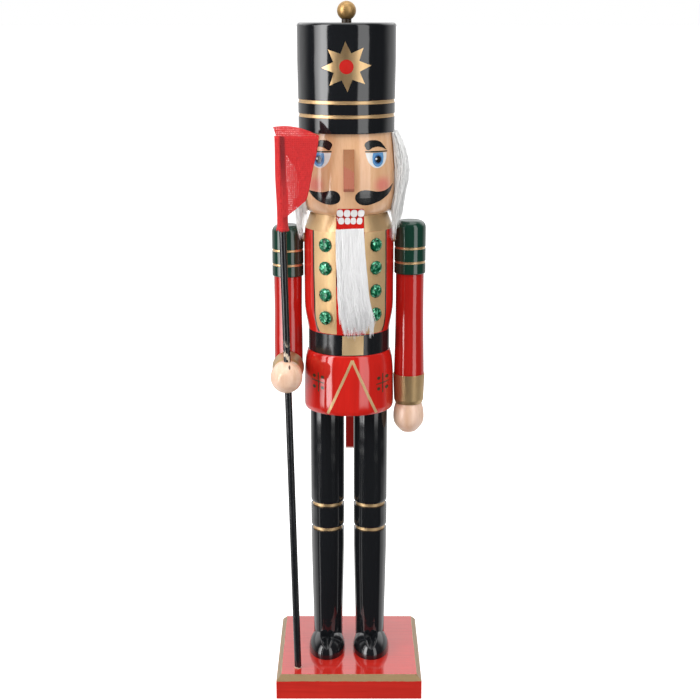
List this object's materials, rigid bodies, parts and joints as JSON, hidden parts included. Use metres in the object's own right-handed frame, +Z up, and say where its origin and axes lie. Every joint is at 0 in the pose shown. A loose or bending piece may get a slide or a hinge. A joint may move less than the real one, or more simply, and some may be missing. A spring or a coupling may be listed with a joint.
{
  "type": "nutcracker figure",
  "caption": "Standing wooden nutcracker soldier on a square base, with a lever-worked jaw, fur hair and beard, and a lift-out flag staff in its fist.",
  "frame": {"origin": "centre of the base board's underside", "axes": "+Z up, the figure faces -Y, +X towards the figure's left arm"},
  "size_m": [0.136, 0.136, 0.61],
  "materials": {
    "red_lacquer": "gloss red lacquer over turned wood",
    "sleeve_lacquer": "gloss red lacquer over turned wood, a shade deeper",
    "black_lacquer": "gloss black lacquer over turned wood",
    "green_lacquer": "gloss dark green lacquer over turned wood",
    "gold_paint": "satin metallic gold paint over turned wood",
    "face_wood": "clear-lacquered pale wood with visible grain, painted features",
    "hand_wood": "clear-lacquered pale pinkish wood",
    "dowel_wood": "unfinished birch dowel, glued and hidden",
    "steel": "plain steel, hidden",
    "white_fur": "long white synthetic fur",
    "flag_cloth": "open-weave red cloth",
    "emerald_stone": "foil-backed faceted emerald stone"
  },
  "bodies": {
    "figure": {"base_board": "red_lacquer", "base_screws": "steel", "left_boot": "black_lacquer", "right_boot": "black_lacquer", "left_leg": "black_lacquer", "right_leg": "black_lacquer", "hip_dowels": "dowel_wood", "skirt": "red_lacquer", "belt": "black_lacquer", "waist_dowel": "dowel_wood", "torso": "red_lacquer", "coat_gems": "emerald_stone", "head_dowels": "dowel_wood", "head": "face_wood", "nose": "face_wood", "hair": "white_fur", "hat": "black_lacquer", "hat_dowel": "dowel_wood", "finial": "gold_paint", "left_shoulder_cap": "green_lacquer", "right_shoulder_cap": "green_lacquer", "left_sleeve": "sleeve_lacquer", "right_sleeve": "sleeve_lacquer", "right_forearm": "sleeve_lacquer", "left_cuff": "gold_paint", "right_cuff": "gold_paint", "left_hand": "hand_wood", "right_hand": "hand_wood", "left_arm_dowels": "dowel_wood", "right_arm_dowels": "dowel_wood", "wrist_dowel": "dowel_wood", "shoulder_dowels": "dowel_wood", "pivot_pin": "steel"},
    "jaw_lever": {"jaw_block": "red_lacquer", "lever": "sleeve_lacquer"},
    "beard": {"beard": "white_fur"},
    "staff": {"staff_pole": "black_lacquer", "flag": "flag_cloth"}
  },
  "joints": [
    {"name": "jaw_hinge", "type": "hinge", "parent": "figure", "child": "jaw_lever", "pos_m": [0, 0.006, 0.398], "axis": [1, 0, 0], "range_deg": [0, 16]},
    {"name": "beard_hang", "type": "hinge", "parent": "jaw_lever", "child": "beard", "pos_m": [0, -0.0399, 0.4208], "axis": [1, 0, 0], "range_deg": [-16, 0]},
    {"name": "staff_lift", "type": "slide", "parent": "figure", "child": "staff", "axis": [-0.0242, 0, 0.9997], "range_m": [0, 0.305]}
  ],
  "couplings": [
    {"joint": "beard_hang", "follows": "jaw_hinge", "ratio": -1}
  ]
}
